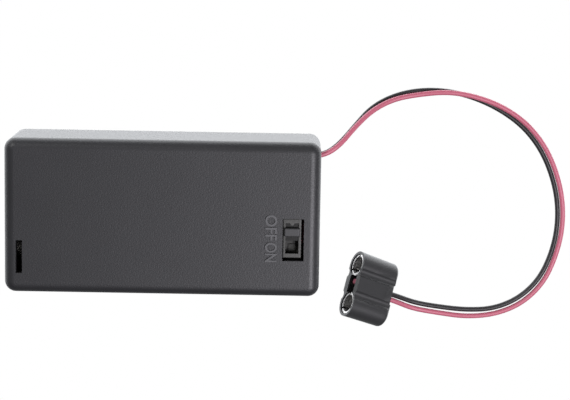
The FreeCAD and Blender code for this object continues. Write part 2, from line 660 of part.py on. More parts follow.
PIN_NAMES = {"switch_pin_off": 1, "switch_pin_common": 0, "switch_pin_on": -1}


def make_switch_pins():
    """Three flat terminals, each with a contact pad on the base and a solder pin under it."""
    pins = []
    for label, place in PIN_NAMES.items():
        body = new_body(label)
        middle = "(Layout.switch_y + %d * Dims.pin_pitch)" % place
        pad_sketch = new_sketch(body, "XY_Plane", "Layout.base_top")
        rectangle(pad_sketch, "Layout.switch_x - Dims.wiper_width / 2", "Layout.switch_x + Dims.wiper_width / 2",
                  middle + " - Dims.pad_length / 2", middle + " + Dims.pad_length / 2")
        pad(body, pad_sketch, "Dims.pad_height")
        pin_sketch = new_sketch(body, "XY_Plane", "Layout.shell_base - Dims.pin_length")
        rectangle(pin_sketch, "Layout.switch_x - Dims.pin_sheet / 2", "Layout.switch_x + Dims.pin_sheet / 2",
                  middle + " - Dims.pin_width / 2", middle + " + Dims.pin_width / 2")
        pad(body, pin_sketch, "Dims.pin_length + Dims.base_height + Dims.pad_height / 2")
        pins.append(body)
    return pins


def make_switch_base():
    """The insulating plate that closes the frame from below, with a slot for each terminal."""
    body = new_body("switch_base")
    half_x = "(Layout.switch_width / 2 - Dims.shell_sheet - Dims.switch_fit)"
    half_y = "(Layout.switch_length / 2 - Dims.shell_sheet - Dims.switch_fit)"
    plate = new_sketch(body, "XY_Plane", "Layout.shell_base")
    rectangle(plate, "Layout.switch_x - " + half_x, "Layout.switch_x + " + half_x,
              "Layout.switch_y - " + half_y, "Layout.switch_y + " + half_y)
    pad(body, plate, "Dims.base_height")
    for place in PIN_NAMES.values():
        middle = "(Layout.switch_y + %d * Dims.pin_pitch)" % place
        slot = new_sketch(body, "XY_Plane", "Layout.shell_base - Dims.base_height")
        rectangle(slot, "Layout.switch_x - Dims.pin_sheet / 2", "Layout.switch_x + Dims.pin_sheet / 2",
                  middle + " - Dims.pin_width / 2", middle + " + Dims.pin_width / 2")
        pocket(body, slot, "3 * Dims.base_height", True)
    return body


def make_switch_knob():
    """The slider under the frame, its neck through the slot and the knob that a fingernail moves."""
    body = new_body("switch_knob")
    slider = new_sketch(body, "XY_Plane", "Layout.slider_base")
    half_x = "(Layout.switch_width / 2 - Dims.shell_sheet - 2 * Dims.switch_fit)"
    rectangle(slider, "Layout.switch_x - " + half_x, "Layout.switch_x + " + half_x,
              "Layout.knob_y - Dims.slider_length / 2", "Layout.knob_y + Dims.slider_length / 2")
    pad(body, slider, "Dims.slider_height")
    neck = new_sketch(body, "XY_Plane", "Layout.slider_top - Dims.slider_height / 2")
    neck_x = "(Layout.knob_slot_width / 2 - 2 * Dims.switch_fit)"
    rectangle(neck, "Layout.switch_x - " + neck_x, "Layout.switch_x + " + neck_x,
              "Layout.knob_y - Dims.knob_length / 2", "Layout.knob_y + Dims.knob_length / 2")
    pad(body, neck, "Layout.shell_top - Layout.slider_top + Dims.slider_height / 2 + Dims.knob_rise / 2")
    knob = new_sketch(body, "XY_Plane", "Layout.shell_top + Dims.switch_fit")
    rectangle(knob, "Layout.switch_x - Dims.knob_width / 2", "Layout.switch_x + Dims.knob_width / 2",
              "Layout.knob_y - Dims.knob_length / 2", "Layout.knob_y + Dims.knob_length / 2")
    pad(body, knob, "Dims.knob_rise")
    tall = value("Layout.shell_top + Dims.switch_fit + Dims.knob_rise")
    round_edges(body, "Dims.knob_corner", lambda edge: lies_at(edge, tall))
    return body


def make_switch_contact():
    """The sprung strip under the slider, whose two feet join neighbouring terminals."""
    body = new_body("switch_contact")
    strip = new_sketch(body, "YZ_Plane", "Layout.switch_x - Dims.wiper_width / 2")
    low = "(Layout.pad_top + Dims.switch_fit)"
    high = "(Layout.slider_base - Dims.switch_fit)"
    sheet = "Dims.wiper_sheet"
    foot = "Dims.pin_pitch / 2"
    near, far = "%s - %s" % (foot, "Dims.pad_length / 4"), "%s + %s" % (foot, "Dims.pad_length / 4")
    under = [("near", low), ("far", low), ("far", low + " + " + sheet), ("near", low + " + " + sheet)]
    reach = {"near": near, "far": far}
    right = [("Layout.knob_y + " + reach[name], height) for name, height in under]
    left = [("Layout.knob_y - (%s)" % reach[name], height) for name, height in under]
    outline(strip, [
        left[1],
        left[0],
        ("Layout.knob_y - (%s) / 2" % near, high + " - " + sheet),
        ("Layout.knob_y + (%s) / 2" % near, high + " - " + sheet),
        right[0],
        right[1],
        right[2],
        (right[3][0], right[3][1]),
        ("Layout.knob_y + (%s) / 2" % near, high),
        ("Layout.knob_y - (%s) / 2" % near, high),
        left[3],
        left[2],
    ])
    pad(body, strip, "Dims.wiper_width")
    return body


ARC_SHARE = 0.45


def lead_path(label, route):
    """Straight runs joined by tangent arcs, each as large as its two runs allow."""
    edges = []
    start = route[0]
    radii = []
    for before, corner, after in zip(route, route[1:], route[2:]):
        back, ahead = before - corner, after - corner
        cut = ARC_SHARE * min(back.Length, ahead.Length)
        back.normalize()
        ahead.normalize()
        turn = math.pi - back.getAngle(ahead)
        radius = cut / math.tan(turn / 2)
        radii.append(radius)
        centre = corner + (back + ahead).normalize() * (radius / math.cos(turn / 2))
        middle = centre + (corner - centre).normalize() * radius
        edges.append(Part.LineSegment(start, corner + back * cut).toShape())
        edges.append(Part.Arc(corner + back * cut, middle, corner + ahead * cut).toShape())
        start = corner + ahead * cut
    edges.append(Part.LineSegment(start, route[-1]).toShape())
    path = Part.Wire(edges)
    print("%s: %.1f mm long, radii %s" % (label, path.Length, ", ".join("%.1f" % r for r in radii)))
    return path


def make_lead(label, route):
    """A lead as one eight-sided tube, with its volume compared with its section times its length."""
    diameter = value("Dims.wire_diameter")
    path = lead_path(label, route)
    ring = wire_ring(route[0], (route[1] - route[0]).normalize(), diameter / 2)
    tube = path.makePipeShell([ring], True, False)
    expected = ring_area(diameter / 2) * path.Length
    if abs(tube.Volume - expected) > 0.01 * expected:
        raise RuntimeError("%s: volume %.2f, expected %.2f" % (label, tube.Volume, expected))
    return add_shape(label, tube)


def make_plug_shell():
    """The moulded plug body: three lobes in section, tapered to the back, with two barrels."""
    body = new_body("plug_shell")
    profile = new_sketch(body, "YZ_Plane")
    sideways_oblong(profile, "Layout.lobe_y", "Layout.lobe_radius")
    block = pad(body, profile, "Dims.plug_depth")
    block.setExpression("TaperAngle", "-Dims.plug_draft")
    document.recompute()
    back = value("Dims.plug_depth")
    round_edges(body, "Dims.plug_back_radius", lambda edge: abs(edge.BoundBox.XMin - back) < TINY)
    grooves = new_sketch(body, "YZ_Plane", "-Dims.flute_radius")
    for side in ("", "-"):
        for face in ("", "-"):
            circle(grooves, side + "Dims.flute_place",
                   face + "(Layout.lobe_radius + Dims.flute_radius - Dims.flute_depth)", "Dims.flute_radius")
    pocket(body, grooves, "2 * Dims.plug_depth", True)
    barrels = new_sketch(body, "YZ_Plane")
    for side in ("", "-"):
        circle(barrels, side + "Layout.lobe_y", "0", "Layout.barrel_radius")
    pocket(body, barrels, "Layout.barrel_depth", True)
    shanks = new_sketch(body, "YZ_Plane")
    for side in ("", "-"):
        circle(shanks, side + "Layout.lobe_y", "0", "Dims.rivet_shank / 2 + Dims.socket_fit")
    pocket(body, shanks, "Layout.barrel_depth + Dims.rivet_length + Dims.socket_fit", True)
    middle = new_sketch(body, "YZ_Plane")
    rectangle(middle, "-Dims.pocket_width / 2", "Dims.pocket_width / 2",
              "-Dims.pocket_height / 2", "Dims.pocket_height / 2")
    pocket(body, middle, "Dims.pocket_depth", True)
    tunnel = new_sketch(body, "YZ_Plane")
    circle(tunnel, "0", "0", "Dims.tunnel_diameter / 2")
    pocket(body, tunnel, "Dims.plug_depth * 2", True)
    return body


def make_socket(label, placement):
    """A turned cup, split into fingers, with a stepped hole in its floor that sinks the rivet."""
    body = new_body(label, placement)
    profile = new_sketch(body, "XY_Plane")
    mouth, floor = "Dims.socket_inset", "(Dims.socket_inset + Dims.socket_length)"
    inner = "(Layout.socket_radius - Dims.socket_wall)"
    inside = "(%s - Dims.socket_wall - Dims.rivet_head_height)" % floor
    outline(profile, [
        (mouth, inner),
        (inside, inner),
        (inside, "Dims.rivet_head / 2 + Dims.socket_fit"),
        (floor + " - Dims.socket_wall", "Dims.rivet_head / 2 + Dims.socket_fit"),
        (floor + " - Dims.socket_wall", "Dims.rivet_shank / 2 + Dims.socket_fit"),
        (floor, "Dims.rivet_shank / 2 + Dims.socket_fit"),
        (floor, "Layout.socket_radius"),
        (mouth, "Layout.socket_radius"),
    ])
    cup = body.newObject("PartDesign::Revolution", "cup")
    cup.Profile = profile
    cup.ReferenceAxis = (profile, ["H_Axis"])
    cup.Angle = 360
    document.recompute()
    slit = new_sketch(body, "XY_Plane", "-Dims.slit_width / 2")
    rectangle(slit, mouth + " - Dims.socket_fit", mouth + " + Dims.slit_length",
              "Layout.socket_radius - 2 * Dims.socket_wall", "Layout.socket_radius + Dims.socket_wall")
    cut = pocket(body, slit, "Dims.slit_width", True)
    ring = body.newObject("PartDesign::PolarPattern", "fingers")
    ring.Originals = [cut]
    ring.Axis = ([f for f in body.Origin.OriginFeatures if f.Role == "X_Axis"][0], [""])
    ring.Angle = 360
    ring.setExpression("Occurrences", "Dims.slit_count")
    body.Tip = ring
    document.recompute()
    return body


def make_rivet(label, placement):
    """A hollow rivet whose head holds the socket's floor against the plug body."""
    body = new_body(label, placement)
    profile = new_sketch(body, "XY_Plane")
    seat = "(Dims.socket_inset + Dims.socket_length - Dims.socket_wall)"
    top = seat + " - Dims.rivet_head_height + Dims.socket_fit"
    outline(profile, [
        (top, "Dims.rivet_bore / 2"),
        (seat + " + Dims.socket_wall + Dims.rivet_length", "Dims.rivet_bore / 2"),
        (seat + " + Dims.socket_wall + Dims.rivet_length", "Dims.rivet_shank / 2"),
        (seat, "Dims.rivet_shank / 2"),
        (seat, "Dims.rivet_head / 2"),
        (seat + " - Dims.rivet_head_height * 0.4", "Dims.rivet_head / 2"),
        (top, "Dims.rivet_head * 0.32"),
    ])
    turned = body.newObject("PartDesign::Revolution", "turned")
    turned.Profile = profile
    turned.ReferenceAxis = (profile, ["H_Axis"])
    turned.Angle = 360
    document.recompute()
    return body


def make_solder(label, centre, radius, neighbours, placement=None):
    """A bead of solder, widest in the middle, cut back to the faces of what it joins."""
    up = Vector(0, 0, 1)
    lower = Part.makeCone(radius * 0.45, radius, radius * 0.9, centre - up * (radius * 0.9), up)
    upper = Part.makeCone(radius, radius * 0.45, radius * 0.9, centre, up)
    bead = lower.fuse(upper)
    for neighbour in neighbours:
        bead = bead.cut(neighbour)
    largest = max(bead.Solids, key=lambda solid: solid.Volume)
    return add_shape(label, largest, placement)


def plug_pose():
    """Where the plug lies: its lowest point on the surface, its front raised by the stiff leads."""
    turned = Rotation(value("Dims.plug_yaw"), value("Dims.plug_pitch"), value("Dims.plug_roll"))
    return Placement(Vector(value("Dims.plug_front_x"), value("Dims.plug_front_y"), 0), turned)


case_tray = make_case_tray()
battery_cover = make_battery_cover()
bridge_plate = make_plate("bridge_plate", "Layout.plate_start", "0", "Dims.bridge_width",
                          "-Layout.cell_y", True)
positive_plate = make_plate("positive_plate", "(Layout.plate_end - Dims.contact_sheet)", "Layout.cell_y",
                            "Dims.plate_width", "Layout.cell_y", False, (1, "Layout.positive_tab_z"))
negative_plate = make_plate("negative_plate", "(Layout.plate_end - Dims.contact_sheet)", "-Layout.cell_y",
                            "Dims.plate_width", None, False, (-1, "Layout.negative_tab_z"))
bridge_spring = make_spring(
    "bridge_spring",
    Vector(value("Layout.plate_start + Dims.contact_sheet"), value("Layout.cell_y"), value("Layout.cell_z")), 1)
negative_spring = make_spring(
    "negative_spring",
    Vector(value("Layout.plate_end - Dims.contact_sheet"), -value("Layout.cell_y"), value("Layout.cell_z")), -1)
switch_shell = make_switch_shell()
switch_pins = make_switch_pins()
switch_base = make_switch_base()
switch_knob = make_switch_knob()
switch_contact = make_switch_contact()

plug_shell = make_plug_shell()
pose = plug_pose()
plug_shell.Placement = pose
pose.Base.z = -plug_shell.Shape.BoundBox.ZMin
plug_shell.Placement = pose
lobe_y = value("Layout.lobe_y")
red_barrel = pose.multiply(Placement(Vector(0, lobe_y, 0), Rotation()))
black_barrel = pose.multiply(Placement(Vector(0, -lobe_y, 0), Rotation()))
socket_red = make_socket("socket_red", red_barrel)
socket_black = make_socket("socket_black", black_barrel)
rivet_red = make_rivet("rivet_red", red_barrel)
rivet_black = make_rivet("rivet_black", black_barrel)

pin_face = value("Layout.switch_x + Dims.pin_sheet / 2 + Dims.joint_gap / 2")
pin_on_y = value("Layout.switch_y - Dims.pin_pitch")
pin_common_y = value("Layout.switch_y")
joint_z = value("Layout.shell_base - Dims.pin_length") + 1.0
tab_y = value("Layout.tab_y")
tab_gap = value("Dims.joint_gap") / 2
link_start = Vector(26.9, tab_y - tab_gap, value("Layout.positive_tab_z"))
black_start = Vector(26.9, tab_gap - tab_y, value("Layout.negative_tab_z"))
red_start = Vector(pin_face, pin_on_y, joint_z)
link_end = Vector(value("Layout.switch_x - Dims.pin_sheet / 2 - Dims.joint_gap"), pin_common_y, joint_z)

LINK_ROUTE = [(26.8, -0.2, 10.7), (26.9, -2.6, 11.3)]
RED_IN_CASE = [(30.3, -6.3, 11.5), (31.3, -4.6, 11.0), (31.1, -0.8, 10.6), (30.9, 4.6, 10.2), (31.0, 9.6, 10.1),
               (31.9, 13.2, 10.1)]
BLACK_IN_CASE = [(27.0, 0.2, 7.5), (28.6, 3.4, 7.7), (30.3, 6.4, 8.3), (31.0, 9.8, 8.8), (31.9, 13.2, 8.9)]
RED_OUTSIDE = [
    (35.6, 13.45, 10.1), (38.9, 15.7, 9.5), (42.3, 19.6, 6.9), (46.2, 23.1, 4.0), (51.1, 25.5, 2.1),
    (56.9, 26.6, 1.6), (63.3, 27.3, 1.9), (69.7, 26.3, 1.8), (75.9, 24.0, 1.5), (81.3, 20.4, 1.4),
    (85.6, 15.3, 1.3), (88.4, 9.4, 1.3), (90.1, 3.0, 1.2), (90.3, -3.7, 1.2), (89.0, -10.0, 1.2),
    (86.5, -16.2, 1.0), (81.8, -21.2, 0.7), (75.7, -23.9, 0.62), (69.0, -24.6, 0.62), (62.6, -23.8, 0.62),
]
BLACK_OUTSIDE = [
    (35.6, 13.45, 8.9), (38.8, 15.8, 8.3), (42.3, 19.7, 5.7), (45.9, 23.5, 2.7), (50.9, 26.1, 0.9),
    (56.9, 27.5, 0.62), (63.4, 27.4, 0.62), (69.6, 25.9, 0.62), (75.5, 23.2, 0.62), (80.7, 19.5, 0.62),
    (84.7, 14.6, 0.62), (87.4, 8.9, 0.62), (89.0, 2.8, 0.62), (89.2, -3.6, 0.62), (88.0, -9.7, 0.62),
    (85.5, -15.5, 0.62), (81.1, -20.0, 0.62), (75.3, -22.6, 0.62), (69.0, -23.0, 0.62), (62.8, -22.4, 0.62),
]
RED_IN_PLUG = [(17.2, -0.8, -0.1), (12.6, -0.62, 0), (9.0, -0.5, -0.35), (6.4, 0.0, -0.64), (4.2, 0.5, -0.4),
               (2.0, 0.62, 0.0)]
BLACK_IN_PLUG = [(17.2, 0.6, 0.1), (12.6, 0.62, 0), (9.0, 0.5, 0.35), (6.4, 0.0, 0.64), (4.2, -0.5, 0.4),
                 (2.4, -0.62, 0.0)]


def route(start, inside, outside, in_plug):
    """Every point of a lead, from its solder joint in the case to the one in the plug."""
    points = [start]
    points += [Vector(*place) for place in inside + outside]
    points += [pose.multVec(Vector(*place)) for place in in_plug]
    return points


wire_red = make_lead("wire_red", route(red_start, RED_IN_CASE, RED_OUTSIDE, RED_IN_PLUG))
wire_black = make_lead("wire_black", route(black_start, BLACK_IN_CASE, BLACK_OUTSIDE, BLACK_IN_PLUG))
link_points = [link_start] + [Vector(*place) for place in LINK_ROUTE] + [link_end]
link_wire = make_lead("link_wire", link_points)

pin_off, pin_common, pin_on = switch_pins
bead = value("Dims.solder_radius")
make_solder("solder_link", link_start, bead, [positive_plate.Shape, link_wire.Shape, case_tray.Shape])
make_solder("solder_common", link_end, bead, [pin_common.Shape, link_wire.Shape])
make_solder("solder_red", red_start, bead, [pin_on.Shape, wire_red.Shape])
make_solder("solder_black", black_start, bead, [negative_plate.Shape, wire_black.Shape, case_tray.Shape])
plug_bead = value("Dims.plug_solder_radius")
for label, end, side, socket, lead in (("solder_plug_red", RED_IN_PLUG[-1], 1, socket_red, wire_red),
                                       ("solder_plug_black", BLACK_IN_PLUG[-1], -1, socket_black, wire_black)):
    reach = value("Layout.lobe_y - Layout.socket_radius")
    centre = pose.multVec(Vector(end[0], side * (reach - plug_bead / 2), 0))
    make_solder(label, centre, plug_bead, [socket.Shape, lead.Shape, plug_shell.Shape])

document.recompute()
os.makedirs("parts", exist_ok=True)
pieces = [item for item in document.Objects if item.TypeId in ("PartDesign::Body", "Part::Feature")]
for item in document.Objects:
    if "Invalid" in item.State or "Error" in item.State:
        raise RuntimeError("%s failed: %s" % (item.Label, item.State))
for piece in pieces:
    if piece.Shape.isNull() or not piece.Shape.isValid() or not piece.Shape.Solids:
        raise RuntimeError("%s has no valid solid" % piece.Label)
for piece in pieces:
    piece.Shape.exportStep("parts/%s.step" % piece.Label)
print("%d pieces" % len(pieces))
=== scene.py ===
import math

import bmesh
import bpy
from mathutils import Euler, Matrix, Vector


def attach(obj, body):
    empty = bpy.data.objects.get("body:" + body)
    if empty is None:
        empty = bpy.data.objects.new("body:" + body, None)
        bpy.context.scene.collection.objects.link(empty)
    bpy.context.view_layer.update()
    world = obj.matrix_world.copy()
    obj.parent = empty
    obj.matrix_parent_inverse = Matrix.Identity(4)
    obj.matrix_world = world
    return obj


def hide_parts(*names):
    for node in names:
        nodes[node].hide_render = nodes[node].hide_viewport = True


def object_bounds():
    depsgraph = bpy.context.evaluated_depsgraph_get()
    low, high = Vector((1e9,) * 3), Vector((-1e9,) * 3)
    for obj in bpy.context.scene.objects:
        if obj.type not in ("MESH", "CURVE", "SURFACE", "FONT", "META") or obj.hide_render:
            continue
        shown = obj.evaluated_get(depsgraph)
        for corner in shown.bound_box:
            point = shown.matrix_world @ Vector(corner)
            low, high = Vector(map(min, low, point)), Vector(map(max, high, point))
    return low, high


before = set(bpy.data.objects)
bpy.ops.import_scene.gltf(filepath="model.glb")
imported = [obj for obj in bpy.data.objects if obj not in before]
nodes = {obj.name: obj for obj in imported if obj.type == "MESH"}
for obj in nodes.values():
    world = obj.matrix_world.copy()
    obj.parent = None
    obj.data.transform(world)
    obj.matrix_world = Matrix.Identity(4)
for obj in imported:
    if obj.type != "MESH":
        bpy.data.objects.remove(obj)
cad_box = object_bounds()
scene = bpy.context.scene

# Case. The tray and its sliding cover are injection-moulded in black ABS, in a spark-eroded mould
# that leaves a fine grain. The colour wanders a little, so that no face is quite even.
CASE_BLACK = (0.022, 0.022, 0.024)
CASE_GRAIN = 3200.0
CASE_GRAIN_DEPTH = 0.35
GRAIN_DETAIL = 3.0
GRAIN_HEIGHT = 0.0001
PATCHES_PER_METRE = 90.0
ROUGHNESS_SPREAD = 0.05
MIX_LOW = 6
MIX_HIGH = 7
MIX_RESULT = 2


def surface(name, colour, roughness, metallic=0.0, grain=2600.0, depth=0.10, drift=0.06):
    material = bpy.data.materials.new(name)
    material.use_nodes = True
    tree = material.node_tree
    shader = tree.nodes["Principled BSDF"]
    shader.inputs["Metallic"].default_value = metallic
    where = tree.nodes.new("ShaderNodeTexCoord")
    fine = tree.nodes.new("ShaderNodeTexNoise")
    fine.inputs["Scale"].default_value = grain
    fine.inputs["Detail"].default_value = GRAIN_DETAIL
    bump = tree.nodes.new("ShaderNodeBump")
    bump.inputs["Strength"].default_value = depth
    bump.inputs["Distance"].default_value = GRAIN_HEIGHT
    broad = tree.nodes.new("ShaderNodeTexNoise")
    broad.inputs["Scale"].default_value = PATCHES_PER_METRE
    tint = tree.nodes.new("ShaderNodeMix")
    tint.data_type = "RGBA"
    tint.inputs[MIX_LOW].default_value = (*[c * (1 - drift) for c in colour], 1)
    tint.inputs[MIX_HIGH].default_value = (*[c * (1 + drift) for c in colour], 1)
    rough = tree.nodes.new("ShaderNodeMapRange")
    rough.inputs["To Min"].default_value = roughness - ROUGHNESS_SPREAD
    rough.inputs["To Max"].default_value = roughness + ROUGHNESS_SPREAD
    for texture in (fine, broad):
        tree.links.new(where.outputs["Object"], texture.inputs["Vector"])
    tree.links.new(fine.outputs["Fac"], bump.inputs["Height"])
    tree.links.new(fine.outputs["Fac"], rough.inputs["Value"])
    tree.links.new(broad.outputs["Fac"], tint.inputs["Factor"])
    tree.links.new(tint.outputs[MIX_RESULT], shader.inputs["Base Color"])
    tree.links.new(rough.outputs["Result"], shader.inputs["Roughness"])
    tree.links.new(bump.outputs["Normal"], shader.inputs["Normal"])
    return material


def dress(material, *members):
    for member in members:
        slots = nodes[member].data.materials
        slots.clear()
        slots.append(material)


case_plastic = surface("case_plastic", CASE_BLACK, 0.46, grain=CASE_GRAIN, depth=CASE_GRAIN_DEPTH,
                       drift=0.15)
dress(case_plastic, "case_tray", "battery_cover")

# Lettering by the switch. It is raised from the face in the case's own plastic, painted a little paler
# as a painted highlight on its raised strokes, reads along the switch's travel, and marks the knob's two
# places.
LETTER_HIGHLIGHT_PALE = (0.095, 0.095, 0.099)
LETTER_HEIGHT = 0.0026
LETTER_RISE = 0.00026
LETTER_STROKE = 0.018
LETTER_X = 0.02395
FACE_Z = cad_box[1][2]
lettering = surface("lettering", LETTER_HIGHLIGHT_PALE, 0.60, grain=CASE_GRAIN, depth=CASE_GRAIN_DEPTH)
for word, middle, width in (("OFF", -0.0016, 0.0056), ("ON", -0.00705, 0.0043)):
    text = bpy.data.curves.new("letters_" + word.lower(), "FONT")
    text.body = word
    text.extrude = LETTER_RISE
    text.offset = LETTER_STROKE
    piece = bpy.data.objects.new(text.name, text)
    scene.collection.objects.link(piece)
    bpy.context.view_layer.update()
    low = Vector(piece.bound_box[0])
    high = Vector(piece.bound_box[6])
    centre = (low + high) / 2
    wide = width / (high.x - low.x)
    tall = LETTER_HEIGHT / (high.y - low.y)
    piece.scale = (wide, tall, 1)
    piece.rotation_euler = (0, 0, -math.pi / 2)
    piece.location = (LETTER_X - centre.y * tall, middle + centre.x * wide, FACE_Z)
    text.materials.append(lettering)
    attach(piece, "case")

# Cell contacts. Spring wire and stamped strip, nickel-plated, pushed into grooves of the tray.
# The bridge at the far end shows through the face's slot; its nickel is painted dark as painted shade
# inside the slot.
nickel = surface("nickel", (0.74, 0.73, 0.72), 0.48, metallic=1.0, depth=0.05)
shaded_nickel = surface("shaded_nickel", (0.35, 0.34, 0.32), 0.55, metallic=1.0)
dress(nickel, "bridge_spring", "positive_plate", "negative_plate", "negative_spring")
dress(shaded_nickel, "bridge_plate")

# Slide switch. A folded frame of dull plated steel holds a laminate base with three terminals,
# and a sprung contact slides on them under the knob. The frame's colour is darkened as painted shade of
# the recess, and the contact and terminals under the frame are painted nearly black as painted shade.
shaded_plate = surface("shaded_plate", (0.060, 0.060, 0.056), 0.48, metallic=0.3, grain=1800.0, depth=0.2)
laminate = surface("laminate", (0.012, 0.011, 0.008), 0.55)
shaded_contact_metal = surface("shaded_contact_metal", (0.012, 0.012, 0.008), 0.60)
dress(shaded_plate, "switch_shell")
dress(laminate, "switch_base")
dress(shaded_contact_metal, "switch_contact", "switch_pin_off", "switch_pin_common", "switch_pin_on")

# Switch knob. One grey moulding: its head stands above the frame,
# and its slider, under the frame, is painted black as painted shade cast by the frame. So the colour
# changes at the frame's height.
KNOB_GREY = (0.055, 0.055, 0.057)
SLIDER_SHADE_BLACK = (0.004, 0.004, 0.003)
KNOB_SHEEN = 0.3
SLIDER_TOP_Z = 0.01822
knob_grey = surface("knob_grey", KNOB_GREY, 0.45)
knob_tree = knob_grey.node_tree
knob_shader = knob_tree.nodes["Principled BSDF"]
knob_place = knob_tree.nodes.new("ShaderNodeTexCoord")
knob_split = knob_tree.nodes.new("ShaderNodeSeparateXYZ")
knob_above = knob_tree.nodes.new("ShaderNodeMath")
knob_above.operation = "GREATER_THAN"
knob_above.inputs[1].default_value = SLIDER_TOP_Z
knob_tint = knob_tree.nodes.new("ShaderNodeMix")
knob_tint.data_type = "RGBA"
knob_tint.inputs[MIX_LOW].default_value = (*SLIDER_SHADE_BLACK, 1)
knob_tint.inputs[MIX_HIGH].default_value = (*KNOB_GREY, 1)
knob_tree.links.new(knob_place.outputs["Object"], knob_split.inputs["Vector"])
knob_tree.links.new(knob_split.outputs["Z"], knob_above.inputs[0])
knob_tree.links.new(knob_above.outputs["Value"], knob_tint.inputs["Factor"])
knob_tree.links.new(knob_tint.outputs[MIX_RESULT], knob_shader.inputs["Base Color"])
knob_shader.inputs["Specular IOR Level"].default_value = KNOB_SHEEN
dress(knob_grey, "switch_knob")

# Link wire and solder joints. A short insulated wire joins the positive plate to the switch,
# and each lead and each end of the link is soldered by hand.
red_cover = surface("red_cover", (0.52, 0.125, 0.185), 0.45, grain=900.0, depth=0.04)
bright_solder = surface("bright_solder", (0.75, 0.75, 0.76), 0.25, metallic=1.0, depth=0.10)
dress(red_cover, "link_wire")
dress(bright_solder, "solder_link", "solder_common", "solder_red", "solder_black")

# Plug metal. In each barrel a nickel-plated brass crown socket is held by a hollow rivet,
# and the lead is soldered to it in the pocket between the barrels.
dress(nickel, "socket_red", "socket_black", "rivet_red", "rivet_black")
dress(bright_solder, "solder_plug_red", "solder_plug_black")

# Plug body. It is moulded in black plastic, and its middle part ends a little short of its two
# barrels at the back, round the leads. A block with rounded edges is cut out of a copy of the solid there.
PLUG_FRONT = (0.0423, -0.01595, 0.0075655)
PLUG_ROLL = math.radians(-20.0)
PLUG_PITCH = math.radians(22.5)
PLUG_YAW = math.radians(-22.5)
PLUG_DEPTH = 0.0098
STEP_DEPTH = 0.0006
STEP_WIDTH = 0.0046
STEP_ROUNDING = 0.0006
BLOCK_LENGTH = 0.0040
BLOCK_HEIGHT = 0.0120
WELD_DISTANCE = 1e-7
CREASE = math.radians(18)
plug_plastic = surface("plug_plastic", (0.031, 0.031, 0.032), 0.42, grain=1500.0, depth=0.08)
plug_body = bpy.data.objects.new("plug_body", nodes["plug_shell"].data.copy())
plug_body.matrix_world = nodes["plug_shell"].matrix_world
scene.collection.objects.link(plug_body)
welded = bmesh.new()
welded.from_mesh(plug_body.data)
bmesh.ops.remove_doubles(welded, verts=welded.verts, dist=WELD_DISTANCE)
welded.to_mesh(plug_body.data)
welded.free()

block_mesh = bmesh.new()
bmesh.ops.create_cube(block_mesh, size=1.0)
bmesh.ops.scale(block_mesh, vec=(BLOCK_LENGTH, STEP_WIDTH, BLOCK_HEIGHT), verts=block_mesh.verts)
upright = [edge for edge in block_mesh.edges
           if abs(edge.verts[0].co.z - edge.verts[1].co.z) > BLOCK_HEIGHT / 2]
bmesh.ops.bevel(block_mesh, geom=upright, offset=STEP_ROUNDING, segments=5, affect="EDGES", profile=0.5)
block = bpy.data.objects.new("block", bpy.data.meshes.new("block"))
scene.collection.objects.link(block)
block_mesh.to_mesh(block.data)
block_mesh.free()
plug_turn = Euler((PLUG_ROLL, PLUG_PITCH, PLUG_YAW), "XYZ").to_matrix().to_4x4()
behind = Matrix.Translation((PLUG_DEPTH - STEP_DEPTH + BLOCK_LENGTH / 2, 0, 0))
block.matrix_world = Matrix.Translation(PLUG_FRONT) @ plug_turn @ behind

cut = plug_body.modifiers.new("cut", "BOOLEAN")
cut.operation = "DIFFERENCE"
cut.solver = "EXACT"
cut.object = block
bpy.context.view_layer.update()
stepped = bpy.data.meshes.new_from_object(plug_body.evaluated_get(bpy.context.evaluated_depsgraph_get()))
plug_body.modifiers.clear()
plug_body.data = stepped
bpy.data.objects.remove(block)
stepped.shade_smooth()
stepped.set_sharp_from_angle(angle=CREASE)
stepped.materials.clear()
stepped.materials.append(plug_plastic)
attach(plug_body, "case")
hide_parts("plug_shell")

# The two leads. Stranded wire in limp PVC, soldered in the case and in the plug. They leave the lead
# hole together, drop to the table, cross once and sweep round in one loose bend. The red one's last
# point lies in the plug's pocket, where its end shows from the front.
RED_ROUTE = (
    (0.0290, -0.0065, 0.0122), (0.0303, -0.0063, 0.0115), (0.0313, -0.0046, 0.0110),
    (0.0311, -0.0008, 0.0106), (0.0309, 0.0046, 0.0102), (0.0310, 0.0096, 0.0101),
    (0.0319, 0.0132, 0.0101), (0.0356, 0.0135, 0.0101), (0.0389, 0.0157, 0.0095),
    (0.0423, 0.0196, 0.0069), (0.0462, 0.0231, 0.0040), (0.0511, 0.0255, 0.0021),
    (0.0569, 0.0266, 0.0016), (0.0633, 0.0273, 0.0019), (0.0697, 0.0263, 0.0018),
    (0.0759, 0.0240, 0.0015), (0.0813, 0.0204, 0.0014), (0.0856, 0.0153, 0.0013),
    (0.0884, 0.0094, 0.0013), (0.0901, 0.0030, 0.0012), (0.0903, -0.0037, 0.0012),
    (0.0890, -0.0100, 0.0012), (0.0865, -0.0162, 0.0010), (0.0818, -0.0212, 0.0007),
    (0.0757, -0.0239, 0.0006), (0.0690, -0.0246, 0.0006), (0.0626, -0.0238, 0.0006),
    (0.0567, -0.0228, 0.0011), (0.0529, -0.0210, 0.0029), (0.0497, -0.0197, 0.0040),
    (0.0475, -0.0183, 0.0046), (0.0458, -0.0170, 0.0055), (0.0442, -0.0161, 0.0066),
    (0.0429, -0.0154, 0.0076),
)
